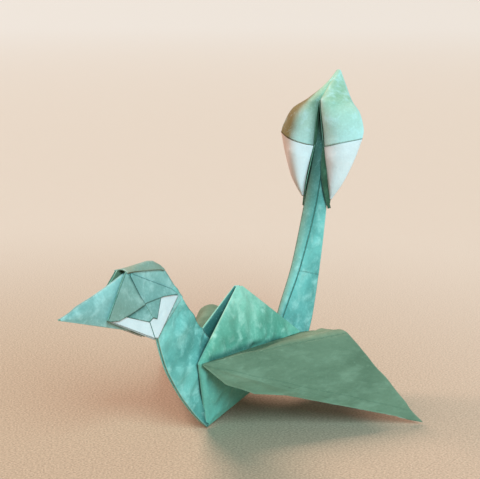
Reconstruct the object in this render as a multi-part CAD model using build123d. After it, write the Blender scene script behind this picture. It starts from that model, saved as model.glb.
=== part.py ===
from build123d import *
from math import cos, radians, sin
import os

# A crane folded from one square sheet. It stands on its front foot and both wing tips.
# X runs from beak to tail, Z is up, and the fold symmetry plane is Y = 0.
# The near side is the one towards -Y. Every size is in millimetres, every angle in degrees.

# The sheet
paper = 0.13                # thickness of one layer
wall_layers = 2             # layers in the walls of body, neck, tail and head
wing_layers = 2             # layers in each wing
flap_layers = 1             # layers in a flap that lies over another
fold_lap = 0.16             # how far two facets run into each other at a fold

# The body: a keel below, two side walls, and a peaked back above the wing roots
keel_length = 42.0          # from the front foot to the fold where the tail leaves
keel_rise = 9.2             # how much higher the tail's fold lies than the foot
shoulder_ahead = 7.6        # front end of a wing root, ahead of the foot
shoulder_height = 21.2      # and above the foot
shoulder_half_width = 4.3
hip_behind = 40.3           # rear end of a wing root, behind the foot
hip_height = 19.0
hip_half_width = 5.0
wall_bulge = 0.7            # how far a side wall stands out halfway up
wall_roll = 0.06            # where it does so, as a share of its length from the front
peak_behind = 13.8          # front end of the blunt peak, behind the foot
peak_height = 38.0
peak_length = 2.3
peak_fall = 0.4             # how much lower its rear end lies
peak_half_gap = 0.35        # half the slot between the two sides at the peak
throat_behind = 8.5         # where the neck's back fold dives into the body
throat_height = 18.0
vent_behind = 31.5          # where the tail's front strip dives into the body
vent_height = 15.5

# The wings: cones that fan out from the shoulder and bend down past a soft crest
crest_behind = 40.3         # crest on the rear edge, behind the shoulder
crest_out = 20.0            # and out from it
crest_rise = 4.2            # and above it
tip_behind = 46.0           # wing tip, behind the shoulder
tip_out = 43.2              # and out from it
tip_height = 0.6            # wing tip above the foot
crest_spread = 0.15         # share of the rear edge that the bend takes on each side
crest_steps = 4             # facets in the bend
knee_behind = 11.6          # knee in the front edge, behind the shoulder
knee_out = 9.2              # and out from it
knee_drop = 9.2             # and below it
fan_start = 1.6             # where the facets start, away from the shoulder

# The neck, closed along its back and open along the breast
nape_ahead = 10.1           # nape, ahead of the foot
nape_height = 39.9
neck_back_ahead = 1.7       # middle of the neck's back, ahead of the foot
neck_back_height = 29.3
breast_ahead = 13.0         # middle of the breast line, ahead of the foot
breast_height = 14.5
breast_top_ahead = 20.8     # breast line where it goes in under the head
breast_top_height = 30.4
breast_half_gap = 0.45      # half the opening between the two breast edges
neck_steps = 5              # facets along the neck
tuck_share = 0.5            # how far the neck goes on inside the head, along the fold behind it
tuck_ahead = 1.2            # and along the breast edge
tuck_rise = 5.5

# The head, placed from the nape: a roofed fold with a squash-folded cheek on each side
brow_ahead = 23.3
brow_rise = 11.9
crown_ahead = 11.8
crown_rise = 12.0
brow_drop = 0.6             # edge of the roof below its ridge, in front
roof_drop = 2.2             # and at the back
occiput_ahead = 7.8         # back of the head
occiput_rise = 8.6
jowl_ahead = 32.3           # front corner of the cheek
jowl_rise = 1.3
chin_ahead = 14.5           # lowest corner of the cheek
chin_drop = 7.8
ear_ahead = 3.9             # rear corner of the cheek
ear_rise = 1.9
cheek_lean = 6.3            # angle by which each side leans out from the fold behind it
cover_reach = 0.72          # how far the cheek's cover reaches down from brow to chin
cover_side = 0.25           # border left at each end of the line from jowl to ear
cover_middle = 0.5          # where the slit crosses that line
cover_slit = 0.02           # how far the facets keep from the slit, as a share of their width

# The beak, closed along its upper edge
beak_ahead = 46.3           # tip, ahead of the nape
beak_rise = 4.2
beak_root_share = 0.25      # where its upper edge meets the ridge of the roof
beak_foot_ahead = 23.0      # rear end of its lower edge
beak_foot_drop = 3.6
beak_half_gap = 1.2         # half the opening at that end

# The tail: a channel with a narrow front strip and two side walls
tail_low_behind = 37.2      # front strip where it leaves the body
tail_low_height = 25.4
tail_low_half = 1.2
tail_low_depth = 14.0       # width of the side wall there
tail_mid_behind = 45.0      # front strip halfway up
tail_mid_height = 38.1
tail_mid_half = 1.6
tail_mid_depth = 9.4
tail_top_behind = 52.5      # front strip where it enters the hood
tail_top_height = 56.4
tail_top_half = 2.2
tail_top_depth = 4.4
tail_wall_fall = 37.0       # angle at which the side walls fall away behind the strip
tail_flare = 1.35           # how far the rear edges stand out beyond the strip
tail_foot_half = 0.5        # half the channel's width inside the body

# The hood, placed from the top of the front strip: two bowed lobes, each ending in a petal
hood_tip_behind = 15.2
hood_tip_rise = 39.4
hood_tip_half = 0.4
fork_behind = 3.8           # where the two lobes part
fork_rise = 30.7
brim_behind = 10.2          # middle of a lobe's outer edge
brim_rise = 30.1
brim_half = 8.0
hem_corner_behind = 5.5     # outer corner of the turned-over layer
hem_corner_rise = 19.8
hem_corner_half = 14.5
hem_slot_behind = 4.4       # inner corner of the turned-over layer
hem_slot_rise = 17.0
hem_slot_half = 2.0
petal_side_behind = 4.2     # middle of a petal's outer edge
petal_side_rise = 11.0
petal_side_half = 11.2
petal_slot_behind = 4.0     # middle of a petal's inner edge
petal_slot_rise = 8.0
petal_slot_half = 3.2
petal_end_behind = 3.2
petal_end_rise = 0.4
petal_end_half = 4.6
petal_end_width = 0.8
pleat_depth = 0.4           # how far the pleats between the lobes reach in behind the tail's strip
lining_show = 1.1           # how far the lining stands out beyond a petal's inner edge
lining_share = 0.5          # how far it reaches outward behind the petal
lining_drop = 2.6           # how far it hangs below the petal's end
lobe_bow = 2.8              # how far a lobe bows forward between its edges
lobe_steps = 4              # facets from the tip to the hem, and again down the petal
lobe_bow_share = 0.25       # the most it bows, as a share of its width
strip_inset = 0.3           # how far the tail's end stops short of the hood's ridge
strip_end_share = 0.4       # where on the ridge, from fork to tip, the tail's front strip ends
wall_end_share = 0.8        # and where its side walls end

HALF = 0.5
NEAR = Vector(0, -1, 0)     # away from the symmetry plane
FRONT = Vector(-1, 0, 0)    # towards the beak


def spot(behind, out, height):
    """A point behind the foot, out on the near side, and above the foot."""
    return Vector(behind, -out, height)


def shifted(start, behind=0, out=0, rise=0):
    """A point placed from another one."""
    return start + Vector(behind, -out, rise)


def between(start, end, share):
    """The point a given share of the way from start to end."""
    return start + (end - start) * share


def along(line, steps):
    """Points at even steps along a line or curve, ends included."""
    return [line @ (i / steps) for i in range(steps + 1)]


def lapped(points, lap):
    """A row of points whose two ends are pushed out by the lap."""
    first = points[0] + (points[0] - points[1]).normalized() * lap
    last = points[-1] + (points[-1] - points[-2]).normalized() * lap
    return [first, *points[1:-1], last]


def grown(rows, lap):
    """A grid of points grown on all four sides, so that it runs into its neighbours."""
    rows = [lapped(row, lap) for row in rows]
    columns = [lapped(column, lap) for column in zip(*rows)]
    return [list(row) for row in zip(*columns)]


def grid_normals(rows):
    """A unit normal for each grid point, averaged over the facets that meet there."""
    sums = [[Vector() for _ in row] for row in rows]
    for i in range(len(rows) - 1):
        for j in range(len(rows[0]) - 1):
            corners = [(i, j), (i, j + 1), (i + 1, j + 1), (i + 1, j)]
            a, b, c, d = [rows[p][q] for p, q in corners]
            normal = (c - a).cross(d - b).normalized()
            for p, q in corners:
                sums[p][q] += normal
    return [[total.normalized() for total in row] for row in sums]


def fold(a, b, c, d):
    """Two triangles that fill a four-sided facet, creased from a to c."""
    return [Face(Wire.make_polygon([a, b, c])), Face(Wire.make_polygon([a, c, d]))]


def sheet(rows, layers, lift=0, way=NEAR):
    """A folded stretch of the sheet, given as a grid of corners with a fold at each line.

    Its thickness is that of its layers. The lift, in layers, raises it the given way over
    the stretch on which it lies.
    """
    rows = grown(rows, fold_lap)
    normals = grid_normals(rows)
    if sum(normal.dot(way) for row in normals for normal in row) < 0:
        rows = [row[::-1] for row in rows]
        normals = grid_normals(rows)
    outer, inner = (lift + layers * HALF) * paper, (lift - layers * HALF) * paper
    top = [[p + n * outer for p, n in zip(*pair)] for pair in zip(rows, normals)]
    under = [[p + n * inner for p, n in zip(*pair)] for pair in zip(rows, normals)]
    last_row, last_column = len(rows) - 1, len(rows[0]) - 1
    faces = []
    for i in range(last_row):
        for j in range(last_column):
            faces += fold(top[i][j], top[i][j + 1], top[i + 1][j + 1], top[i + 1][j])
            faces += fold(under[i][j], under[i][j + 1], under[i + 1][j + 1], under[i + 1][j])
    for j in range(last_column):
        for i in (0, last_row):
            faces += fold(top[i][j], top[i][j + 1], under[i][j + 1], under[i][j])
    for i in range(last_row):
        for j in (0, last_column):
            faces += fold(top[i][j], top[i + 1][j], under[i + 1][j], under[i][j])
    return Solid(Shell(faces))


def flat(corners, layers, lift=0):
    """A flat facet of any outline, grown by the lap and made as thick as its layers."""
    outline = Wire.make_polygon(corners, close=True)
    face = Face(outline.offset_2d(fold_lap, kind=Kind.INTERSECTION))
    outward = face.normal_at()
    if outward.Y > 0:
        outward = -outward
    face = face.moved(Location(outward * ((lift - layers * HALF) * paper)))
    return Solid.extrude(face, outward * (layers * paper))


def both_sides(near_pieces):
    """The near pieces and their mirror images on the far side."""
    return near_pieces + [mirror(piece, about=Plane.XZ) for piece in near_pieces]


foot = spot(0, 0, 0)
tail_fold = spot(keel_length, 0, keel_rise)
shoulder = spot(-shoulder_ahead, shoulder_half_width, shoulder_height)
hip = spot(hip_behind, hip_half_width, hip_height)
peak_front = spot(peak_behind, peak_half_gap, peak_height)
peak_rear = shifted(peak_front, peak_length, 0, -peak_fall)
throat = spot(throat_behind, 0, throat_height)
vent = spot(vent_behind, 0, vent_height)
nape = spot(-nape_ahead, 0, nape_height)
occiput = shifted(nape, -occiput_ahead, 0, occiput_rise)
strip_top = spot(tail_top_behind, 0, tail_top_height)


def body():
    """Side walls, the peaked back, and the folds that turn in to the neck and the tail."""
    root = [shoulder, between(shoulder, hip, wall_roll), hip]
    keel = [foot, between(foot, tail_fold, wall_roll), tail_fold]
    halfway = [between(high, low, HALF) for high, low in zip(root, keel)]
    halfway[1] = shifted(halfway[1], out=wall_bulge)
    side_wall = sheet([root, halfway, keel], wall_layers)
    back = sheet([[peak_front, peak_rear], [shoulder, hip]], wall_layers)
    to_neck = [flat([point, shoulder, throat], wall_layers) for point in (peak_front, foot)]
    to_tail = [flat([point, hip, vent], wall_layers) for point in (peak_rear, tail_fold)]
    return both_sides([side_wall, back, *to_neck, *to_tail])


def wings():
    """A fan of facets from the shoulder to the rear edge with its bend, the tip and the knee."""
    crest = shifted(shoulder, crest_behind, crest_out, crest_rise)
    tip = spot(tip_behind - shoulder_ahead, tip_out + shoulder_half_width, tip_height)
    bend_start = between(crest, hip, crest_spread)
    bend_end = between(crest, tip, crest_spread)
    bend = along(Bezier(bend_start, crest, bend_end), crest_steps)
    knee = shifted(shoulder, knee_behind, knee_out, -knee_drop)
    outline = [hip, *bend, tip, knee]
    fan = [[shoulder + (point - shoulder).normalized() * fan_start, point] for point in outline]
    return both_sides([sheet(fan, wing_layers)])


def neck():
    """Near and far walls between the back fold and the open breast edge, up into the head."""
    back_line = ThreePointArc(throat, spot(-neck_back_ahead, 0, neck_back_height), nape)
    breast_mid = spot(-breast_ahead, breast_half_gap, breast_height)
    breast_top = spot(-breast_top_ahead, breast_half_gap, breast_top_height)
    breast_line = ThreePointArc(foot, breast_mid, breast_top)
    rows = [list(pair) for pair in zip(along(back_line, neck_steps), along(breast_line, neck_steps))]
    rows.append([between(nape, occiput, tuck_share), shifted(breast_top, -tuck_ahead, 0, tuck_rise)])
    return both_sides([sheet(rows, wall_layers)])


def on_cheek(behind, rise):
    """A point of the near side of the head, which leans out from the fold behind it."""
    point = shifted(nape, behind, 0, rise)
    behind_fold = (occiput - nape).normalized()
    away = (point - nape) - behind_fold * (point - nape).dot(behind_fold)
    return shifted(point, out=away.length * sin(radians(cheek_lean)))


def cheek(brow, jowl, ear, chin):
    """The border that shows the paper's other side, and the facets of its cover on both sides of a slit."""
    border = flat([brow, ear, chin, jowl], flap_layers, wall_layers)
    middle = between(jowl, ear, cover_middle)
    low = between(brow, chin, cover_reach)
    facets = [border]
    for corner, side in ((jowl, cover_side), (ear, 1 - cover_side)):
        top, centre, under = [between(point, corner, cover_slit) for point in (brow, middle, low)]
        facets.append(flat([top, centre, corner], flap_layers, wall_layers + flap_layers))
        facets.append(flat([centre, under, between(jowl, ear, side)], flap_layers, wall_layers + flap_layers))
    return facets


def head():
    """Side, roof, and the squash-folded cheek on each side."""
    brow = shifted(nape, -brow_ahead, 0, brow_rise)
    crown = shifted(nape, -crown_ahead, 0, crown_rise)
    brow_edge = on_cheek(-brow_ahead, brow_rise - brow_drop)
    roof_edge = on_cheek(-crown_ahead, crown_rise - roof_drop)
    jowl = on_cheek(-jowl_ahead, jowl_rise)
    chin = on_cheek(-chin_ahead, -chin_drop)
    side = flat([brow_edge, roof_edge, occiput, nape, chin, jowl], wall_layers)
    roof = [flat([brow, crown, roof_edge], wall_layers), flat([brow, roof_edge, brow_edge], wall_layers)]
    roof += [flat([crown, occiput, roof_edge], wall_layers)]
    return both_sides([side, *roof, *cheek(brow_edge, jowl, on_cheek(-ear_ahead, ear_rise), chin)])


def beak():
    """Two flat sides that meet along the upper edge and part a little along the lower one."""
    tip = shifted(nape, -beak_ahead, 0, beak_rise)
    brow = shifted(nape, -brow_ahead, 0, brow_rise)
    crown = shifted(nape, -crown_ahead, 0, crown_rise)
    lower_root = shifted(nape, -beak_foot_ahead, beak_half_gap, -beak_foot_drop)
    return both_sides([flat([tip, between(brow, crown, beak_root_share), lower_root], wall_layers)])


def hood_ridge():
    """Tip of the hood, and the fork where its two lobes part."""
    tip = shifted(strip_top, hood_tip_behind, 0, hood_tip_rise)
    fork = shifted(strip_top, fork_behind, 0, fork_rise)
    return tip, fork


def channel_row(behind, height, half, depth):
    """Four corners across the tail: near rear edge, both front edges, far rear edge."""
    fall = radians(tail_wall_fall)
    front = spot(behind, half, height)
    rear = shifted(front, depth * cos(fall), tail_flare, -depth * sin(fall))
    return mirrored_row([rear, front])


def mirrored_row(near):
    """The near points of a row, then the same points on the far side in reverse order."""
    return near + [Vector(p.X, -p.Y, p.Z) for p in reversed(near)]


def tail():
    """One channel from inside the body up to the ridge of the hood."""
    tip, fork = hood_ridge()
    inside = [shifted(tail_fold, out=tail_foot_half), shifted(vent, out=tail_foot_half)]
    below_ridge = Vector(0, 0, -strip_inset)
    end = [between(fork, tip, share) + below_ridge for share in (wall_end_share, strip_end_share)]
    rows = [mirrored_row(inside)]
    rows.append(channel_row(tail_low_behind, tail_low_height, tail_low_half, tail_low_depth))
    rows.append(channel_row(tail_mid_behind, tail_mid_height, tail_mid_half, tail_mid_depth))
    rows.append(channel_row(tail_top_behind, tail_top_height, tail_top_half, tail_top_depth))
    rows.append(mirrored_row([shifted(point, out=tail_foot_half) for point in end]))
    return [sheet(rows, wall_layers)]


def lobe_rows(slot_line, outer_line):
    """Rows across a lobe from its slot edge to its outer edge, bowed forward between them."""
    rows = []
    for slot, outer in zip(slot_line, outer_line):
        bow = min(lobe_bow, (outer - slot).length * lobe_bow_share)
        rows.append([slot, shifted(between(slot, outer, HALF), -bow), outer])
    return rows


def level_with(point, low, high):
    """The point on the line from low to high that lies as high as the given one."""
    return between(low, high, (point.Z - low.Z) / (high.Z - low.Z))


def pleat(slot_line):
    """The paper between a lobe's slot edge and the tail's front strip behind it."""
    tip, fork = hood_ridge()
    low = shifted(strip_top, pleat_depth, tail_foot_half)
    high = shifted(between(fork, tip, strip_end_share), pleat_depth, tail_foot_half, -strip_inset)
    return sheet([[point, level_with(point, low, high)] for point in slot_line], wall_layers)


def lining(petal, petal_end):
    """The layer behind a petal, which shows along its inner edge and hangs below its end."""
    rows = []
    for slot, middle, outer in petal[:-1]:
        rows.append([shifted(slot, out=-lining_show), slot, between(slot, middle, lining_share)])
    end = shifted(petal_end, rise=-lining_drop)
    rows.append([end, shifted(end, out=petal_end_width * HALF), shifted(end, out=petal_end_width)])
    return sheet(rows, flap_layers, -flap_layers, FRONT)


def hood():
    """Two lobes with the turned-over layer above the hem, and a lined petal below it."""
    tip, fork = hood_ridge()
    hem_slot = shifted(strip_top, hem_slot_behind, hem_slot_half, hem_slot_rise)
    hem_corner = shifted(strip_top, hem_corner_behind, hem_corner_half, hem_corner_rise)
    brim = shifted(strip_top, brim_behind, brim_half, brim_rise)
    slot_line = [tip, between(tip, fork, HALF), fork, between(fork, hem_slot, HALF), hem_slot]
    outer_line = along(ThreePointArc(shifted(tip, out=hood_tip_half), brim, hem_corner), lobe_steps)
    lobe = lobe_rows(slot_line, outer_line)
    petal_slot = shifted(strip_top, petal_slot_behind, petal_slot_half, petal_slot_rise)
    petal_side = shifted(strip_top, petal_side_behind, petal_side_half, petal_side_rise)
    petal_end = shifted(strip_top, petal_end_behind, petal_end_half, petal_end_rise)
    inner_edge = ThreePointArc(hem_slot, petal_slot, petal_end)
    outer_edge = ThreePointArc(hem_corner, petal_side, shifted(petal_end, out=petal_end_width))
    petal = lobe_rows(along(inner_edge, lobe_steps), along(outer_edge, lobe_steps))
    base = sheet(lobe + petal[1:], wall_layers, way=FRONT)
    turned_over = sheet(lobe, flap_layers, wall_layers, FRONT)
    return both_sides([base, turned_over, pleat(slot_line[2:]), lining(petal, petal_end)])


pieces = body() + wings() + neck() + head() + beak() + tail() + hood()
crane = pieces[0].fuse(*pieces[1:])
box = crane.bounding_box()
crane = crane.moved(Location((-box.center().X, -box.center().Y, -box.min.Z)))

os.makedirs("parts", exist_ok=True)
export_step(crane, "parts/folded_crane.step")
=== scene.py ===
"""Looks of a crane folded from one square of paper, dyed on one side and white on the other.

Every stretch of paper is a grid of points, in millimetres from the foot of the keel, that is given
the thickness of its layers on both sides and closed round its rim. X runs from beak to tail, Z is
up, the fold symmetry plane is Y = 0, and the near side of the crane is the one towards -Y.
"""

import logging
from dataclasses import dataclass
from enum import Enum, IntEnum
from typing import Sequence

import bpy
import numpy as np
from mathutils import Matrix, Vector


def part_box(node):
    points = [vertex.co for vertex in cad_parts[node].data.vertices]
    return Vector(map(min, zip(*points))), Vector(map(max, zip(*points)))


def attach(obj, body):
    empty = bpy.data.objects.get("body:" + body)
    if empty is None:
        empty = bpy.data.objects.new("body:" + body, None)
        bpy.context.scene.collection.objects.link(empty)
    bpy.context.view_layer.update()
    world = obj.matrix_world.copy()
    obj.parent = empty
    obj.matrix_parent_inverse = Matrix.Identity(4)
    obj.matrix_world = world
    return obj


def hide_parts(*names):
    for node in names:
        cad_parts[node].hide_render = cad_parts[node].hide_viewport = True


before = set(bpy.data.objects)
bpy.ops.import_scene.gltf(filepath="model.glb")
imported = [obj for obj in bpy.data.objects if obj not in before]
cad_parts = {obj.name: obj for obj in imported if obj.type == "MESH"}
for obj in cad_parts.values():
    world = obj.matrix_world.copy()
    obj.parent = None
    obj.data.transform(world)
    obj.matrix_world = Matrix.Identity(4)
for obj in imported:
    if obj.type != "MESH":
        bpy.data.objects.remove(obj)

Array = np.ndarray
Pair = tuple[float, float]
Place = tuple[float, float, float]
Places = tuple[Place, ...]
Colour = tuple[float, float, float]
Material = bpy.types.Material
Socket = bpy.types.NodeSocket
Tree = bpy.types.NodeTree

MM = 0.001
NODE = "folded_crane"
MAPS = ("ink", "score", "wear", "pool", "second", "fade")
OUT_OF_REACH = 99.0         # a distance in millimetres at which no line shows
log = logging.getLogger("crane")


class Coat(IntEnum):
    """What shows on a face of the paper, in the order of a piece's material slots."""

    TEAL = 0
    GREEN = 1
    TURQUOISE = 2
    AQUA = 3
    SAGE = 4
    MIST = 5
    # painted shade: the dark green of the pleats, linings and gussets in the hood's slot
    DEEP = 6
    WHITE = 7
    CUT = 8


class Border(Enum):
    """The four borders of a grid: its first and last row, its first and last column."""

    TOP = (0, slice(None))
    BOTTOM = (-1, slice(None))
    LEFT = (slice(None), 0)
    RIGHT = (slice(None), -1)


ALL_BORDERS = tuple(Border)


class Axis(Enum):
    """Direction of a crease inside a grid."""

    ROW = 0
    COLUMN = 1


@dataclass(frozen=True)
class Ramp:
    """A change of colour along a grid: none at one share of its rows or columns, full at another."""

    axis: Axis
    start: float
    end: float

    def over(self, grid: Array) -> Array:
        """Its strength at each point of a grid.

        Args:
            grid: The grid's points.

        Returns:
            Values from 0 to 1, rows by columns.
        """
        along = np.linspace(0.0, 1.0, grid.shape[self.axis.value])
        share = along[:, None] if self.axis is Axis.ROW else along[None, :]
        return eased(share, self.start, self.end) * np.ones(grid.shape[:2])


EVERYWHERE = Ramp(Axis.ROW, -2.0, -1.0)     # full before the first row


@dataclass(frozen=True)
class Beside:
    """Painted shade beside a line: full on the line, none at the reach, in millimetres."""

    line: Array
    reach: float

    def over(self, grid: Array) -> Array:
        """Its strength at each point of a grid."""
        return 1.0 - eased(distance_to(grid, [self.line]), 0.0, self.reach)

    def far_side(self) -> "Beside":
        """The same change beside the mirror image of the line."""
        return Beside(mirrored(self.line), self.reach)


Spread = Ramp | Beside


@dataclass(frozen=True)
class Score:
    """A faint crease: the grid's row or column at a share of the way through it."""

    axis: Axis
    share: float

    def line(self, grid: Array) -> Array:
        """The crease's points."""
        index = round(self.share * (grid.shape[self.axis.value] - 1))
        return np.take(grid, index, axis=self.axis.value)


@dataclass(frozen=True)
class Paper:
    """The sheet itself, its lengths in millimetres.

    Attributes:
        layer: Thickness of one layer.
        mesh_step: Largest spacing of a grid.
        hold_reach: Distance from a held border at which dents have their full depth.
        ridge_length: Wavelength of the fine ridges, as a share of the dents' own.
        ridge_top: Height of a ridge, as a share of the crumple.
        ridge_fall: How far the paper falls away from it at most.
        ripple_length: Wavelength of the ripples along free edges.
        ripple_reach: Distance from a free edge at which they end.
    """

    layer: float = 0.13
    mesh_step: float = 0.5
    hold_reach: float = 3.0
    ridge_length: float = 1.3
    ridge_top: float = 0.6
    ridge_fall: float = 1.4
    ripple_length: float = 5.5
    ripple_reach: float = 4.0


PAPER = Paper()


class Draw(IntEnum):
    """How much later than a shell's own seed its other random draws start."""

    RIDGES = 3
    RIPPLES = 7
    FAR_SIDE = 50


def spot(place: Place) -> Array:
    """The point that lies (behind, out, above) the foot, out being towards the near side."""
    return np.array([place[0], -place[1], place[2]])


def spots(places: Sequence[Place]) -> Array:
    """Several such points, one to a row."""
    return np.array([spot(place) for place in places])


def mirrored(points: Array) -> Array:
    """The same points on the far side: Y changes its sign."""
    return points * np.array([1.0, -1.0, 1.0])


def resampled(points: Array, count: int) -> Array:
    """Points at even steps of length along a line of points.

    Args:
        points: The line's points, one to a row.
        count: How many points to give back, ends included.

    Returns:
        The new points, each interpolated between its two neighbours on the line.
    """
    steps = np.linalg.norm(np.diff(points, axis=0), axis=1)
    reached = np.concatenate([[0.0], np.cumsum(steps)])
    wanted = np.linspace(0.0, reached[-1], count)
    return np.stack([np.interp(wanted, reached, points[:, axis]) for axis in range(3)], axis=1)


def smooth(places: Sequence[Place], count: int = 60) -> Array:
    """A curve through all the places.

    Between two places it is a cubic whose slope at each place is half the step from the place
    before to the place after; the first and last steps are repeated past the ends.

    Args:
        places: Places (behind, out, above) the foot, in order.
        count: How many points to give back.

    Returns:
        Points at even steps of length along the curve.
    """
    knots = spots(places)
    knots = np.vstack([2 * knots[0] - knots[1], knots, 2 * knots[-1] - knots[-2]])
    reach = np.linspace(0.0, len(places) - 1.0, 8 * count)
    start = np.minimum(reach.astype(int), len(places) - 2)
    share = (reach - start)[:, None]
    before, here, there, after = (knots[start + shift] for shift in range(4))
    curve = here + 0.5 * share * (there - before)
    curve = curve + share**2 * (before - 2.5 * here + 2 * there - 0.5 * after)
    curve = curve + share**3 * (1.5 * (here - there) + 0.5 * (after - before))
    return resampled(curve, count)


def corner_bend(start: Array, corner: Array, end: Array, share: float, count: int = 40) -> Array:
    """A quadratic arc that rounds a corner.

    Args:
        start: Far end of the first leg.
        corner: The sharp corner.
        end: Far end of the second leg.
        share: Share of each leg that the arc takes.
        count: How many points to give back.

    Returns:
        Points (1-t)^2 a + 2t(1-t) corner + t^2 b, where a and b lie on the legs.
    """
    a = corner + (start - corner) * share
    b = corner + (end - corner) * share
    t = np.linspace(0.0, 1.0, count)[:, None]
    return (1 - t) ** 2 * a + 2 * t * (1 - t) * corner + t**2 * b


def length_of(line: Array) -> float:
    """Length of a line of points."""
    return np.linalg.norm(np.diff(line, axis=0), axis=1).sum()


def steps_for(length: float, step: float) -> int:
    """How many points a line of that length needs."""
    return max(int(np.ceil(length / step)) + 1, 4)


def ruled(first: Array, second: Array, step: float = PAPER.mesh_step) -> Array:
    """A grid of straight lines between two curves: first + (second - first) * t.

    Args:
        first: Points of the curve that becomes the grid's first column.
        second: Points of the curve that becomes its last column.
        step: Largest spacing of the grid.

    Returns:
        The grid, rows by columns by 3.
    """
    rows = max(steps_for(length_of(line), step) for line in (first, second))
    first, second = resampled(first, rows), resampled(second, rows)
    columns = steps_for(np.linalg.norm(second - first, axis=1).max(), step)
    t = np.linspace(0.0, 1.0, columns)[None, :, None]
    return first[:, None] * (1 - t) + second[:, None] * t


def folded(edge: Array, fold: Array, radius: float, puff: Sequence[float],
           step: float = PAPER.mesh_step) -> Array:
    """A stretch folded along a line, from its near edge over the fold to the mirrored far edge.

    With w the share of the way from fold to edge, the width is the edge's own times w, plus the
    puff times sin(pi w)^0.9, plus a quarter round of the given radius next to the fold.

    Args:
        edge: The near edge.
        fold: The fold line, in the symmetry plane.
        radius: Half the clear width just past the fold.
        puff: How far each side bulges between fold and edge, at even steps down the rows.
        step: Largest spacing of the grid.

    Returns:
        The grid, its first column the near edge and its last the far edge.
    """
    near = ruled(edge, fold, step)
    w = np.linspace(1.0, 0.0, near.shape[1])[None, :]
    breadth = np.linalg.norm(near[:, 0] - near[:, -1], axis=1)[:, None]
    turn = np.clip(w * breadth / (2.0 * radius), 0.0, 1.0)
    rounding = radius * np.sqrt(1.0 - (1.0 - turn) ** 2)
    swell = np.interp(np.linspace(0.0, 1.0, len(near)), np.linspace(0.0, 1.0, len(puff)), puff)
    near[..., 1] -= rounding + swell[:, None] * np.sin(np.pi * w) ** 0.9
    far = mirrored(near[:, -2::-1])
    return np.concatenate([near, far], axis=1)


def normals(grid: Array) -> Array:
    """Unit normals of a grid: the slope along its columns crossed with the slope down its rows.

    Args:
        grid: The grid's points.

    Returns:
        One direction of length 1 for each point.
    """
    down, across = np.gradient(grid, axis=0), np.gradient(grid, axis=1)
    crossed = np.cross(across, down)
    return crossed / np.maximum(np.linalg.norm(crossed, axis=2, keepdims=True), 1e-9)


def waves(points: Array, length: float, seed: int, count: int = 16) -> Array:
    """Smooth random unevenness at each point.

    It is a sum of sines of the place along random directions, each with its own wavelength of
    0.7 to 1.6 times the given one, scaled so that it mostly stays between -1 and 1.

    Args:
        points: Points in millimetres, in an array of any shape ending in 3.
        length: Typical wavelength.
        seed: Start of the random draw, so that each run gives the same dents.
        count: How many sines are added.

    Returns:
        One number for each point.
    """
    draw = np.random.default_rng(seed)
    ways = draw.normal(size=(count, 3))
    ways /= np.linalg.norm(ways, axis=1, keepdims=True)
    turns = 2 * np.pi / (length * draw.uniform(0.7, 1.6, count))
    phases = draw.uniform(0, 2 * np.pi, count)
    return np.sin(points @ (ways * turns[:, None]).T + phases).sum(axis=-1) / np.sqrt(count)


def distance_to(grid: Array, lines: Sequence[Array]) -> Array:
    """Distance from each grid point to the nearest point of the given lines.

    Args:
        grid: The grid's points.
        lines: Lines of points.

    Returns:
        Distances in millimetres, at most OUT_OF_REACH.
    """
    nearest = np.full(grid.shape[:2], OUT_OF_REACH)
    for line in lines:
        gaps = np.linalg.norm(grid[:, :, None] - line[None, None], axis=3).min(axis=2)
        nearest = np.minimum(nearest, gaps)
    return nearest


def eased(values: Array, start: float, end: float) -> Array:
    """0 up to start, 1 from end on, and 3t^2 - 2t^3 between."""
    t = np.clip((values - start) / (end - start), 0.0, 1.0)
    return t * t * (3.0 - 2.0 * t)


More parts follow.
